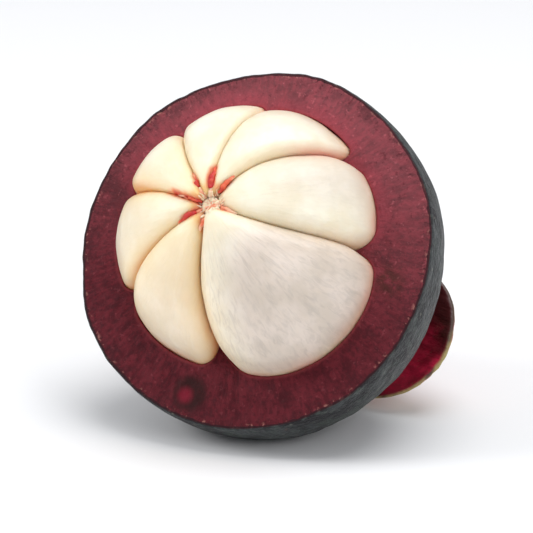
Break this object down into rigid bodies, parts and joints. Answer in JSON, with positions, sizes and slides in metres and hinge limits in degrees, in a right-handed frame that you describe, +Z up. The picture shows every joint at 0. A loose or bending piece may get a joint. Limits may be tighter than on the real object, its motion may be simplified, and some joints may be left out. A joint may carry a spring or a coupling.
{
  "type": "mangosteen fruit, cut open",
  "caption": "Ripe mangosteen with the lower rind cap cut away, showing whole white segments; leans back on its skin and one sepal.",
  "frame": {"origin": "on the surface that the fruit lies on, under the middle of its outline", "axes": "+Z up, -Y the way the cut face looks, +X to the right seen from the front"},
  "size_m": [0.0598, 0.0596, 0.056],
  "materials": {
    "rind": "dark satin skin outside, matte moist crimson cut face",
    "segment_flesh": "moist creamy white flesh, soft sheen",
    "core_fibre": "moist fibre, cream with red strands",
    "sepal": "waxy, red mottled with olive green",
    "stem": "waxy green and red bark with a dry fibrous cut end"
  },
  "bodies": {
    "root": {"rind": "rind", "segment_1": "segment_flesh", "segment_2": "segment_flesh", "segment_3": "segment_flesh", "segment_4": "segment_flesh", "segment_5": "segment_flesh", "segment_6": "segment_flesh", "segment_7": "segment_flesh", "core": "core_fibre", "sepal_outer_right": "sepal", "sepal_outer_left": "sepal", "sepal_inner_top": "sepal", "sepal_inner_bottom": "sepal", "stem": "stem"}
  },
  "joints": []
}
